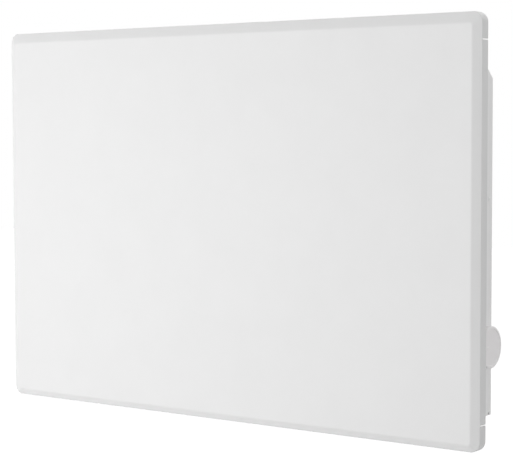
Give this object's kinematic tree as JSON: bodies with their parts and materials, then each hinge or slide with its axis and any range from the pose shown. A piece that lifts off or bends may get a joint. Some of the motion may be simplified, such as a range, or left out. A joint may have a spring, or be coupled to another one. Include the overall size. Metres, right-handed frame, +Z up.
{
  "type": "wall panel convector heater",
  "caption": "Flat-fronted electric wall convector: shallow bevelled sheet-steel cover on a narrower rear housing, thermostat knob low on the right side, hook-on wall bracket.",
  "frame": {"origin": "centre of the four wall screw holes, on the wall plane, at half the height of the front panel", "axes": "+X to the right as seen from the room, along the panel's width; +Y into the wall; +Z up"},
  "size_m": [0.54, 0.084, 0.37],
  "materials": {
    "white_coat": "satin white powder coat",
    "zinc_steel": "galvanised sheet steel",
    "bright_steel": "bright zinc plated steel",
    "aluminium": "extruded aluminium",
    "knob_plastic": "fine textured light grey plastic",
    "dark_plastic": "dark moulded plastic",
    "ceramic": "glazed ceramic",
    "copper": "copper tube",
    "white_nylon": "natural nylon",
    "brown_lead": "silicone lead insulation",
    "black_lead": "silicone lead insulation",
    "blue_lead": "silicone lead insulation",
    "earth_lead": "silicone lead insulation",
    "bracket_coat": "satin white powder coat"
  },
  "bodies": {
    "bracket": {"bracket_rail_left": "bracket_coat", "bracket_rail_right": "bracket_coat", "bracket_crossbar_lower": "bracket_coat", "bracket_crossbar_upper": "bracket_coat", "frame_rivets": "bright_steel"},
    "heater": {"front_cover": "white_coat", "cover_rail_left": "white_coat", "cover_rail_right": "white_coat", "cover_screws": "bright_steel", "housing_front_frame": "white_coat", "housing_base": "white_coat", "rear_housing": "white_coat", "housing_side_left": "white_coat", "housing_side_right": "white_coat", "corner_angles": "zinc_steel", "corner_rivets": "white_coat", "heat_shield": "zinc_steel", "element_body": "aluminium", "element_rod": "bright_steel", "element_insulators": "ceramic", "element_pins": "bright_steel", "element_bracket_left": "zinc_steel", "element_bracket_right": "zinc_steel", "element_bushes": "ceramic", "cutout_bracket": "zinc_steel", "thermal_cutout": "dark_plastic", "control_shield": "zinc_steel", "bracket_rivets": "bright_steel", "thermostat_body": "dark_plastic", "thermostat_nut": "bright_steel", "sensing_bulb": "copper", "bulb_clips": "zinc_steel", "capillary_tube": "copper", "terminal_block": "white_nylon", "block_screws": "bright_steel", "earth_screw": "bright_steel", "cable_gland": "dark_plastic", "gland_nut": "dark_plastic", "lead_live": "brown_lead", "lead_switched": "black_lead", "lead_element": "black_lead", "lead_neutral": "blue_lead", "lead_earth": "earth_lead", "lead_clips": "white_nylon"},
    "knob": {"thermostat_knob": "knob_plastic", "thermostat_shaft": "bright_steel"}
  },
  "joints": [
    {"name": "heater_lift", "type": "slide", "parent": "bracket", "child": "heater", "axis": [0, 0, 1], "range_m": [0, 0.012]},
    {"name": "knob_turn", "type": "hinge", "parent": "heater", "child": "knob", "pos_m": [0.2515, -0.039, -0.1005], "axis": [1, 0, 0], "range_deg": [-270, 0]}
  ]
}
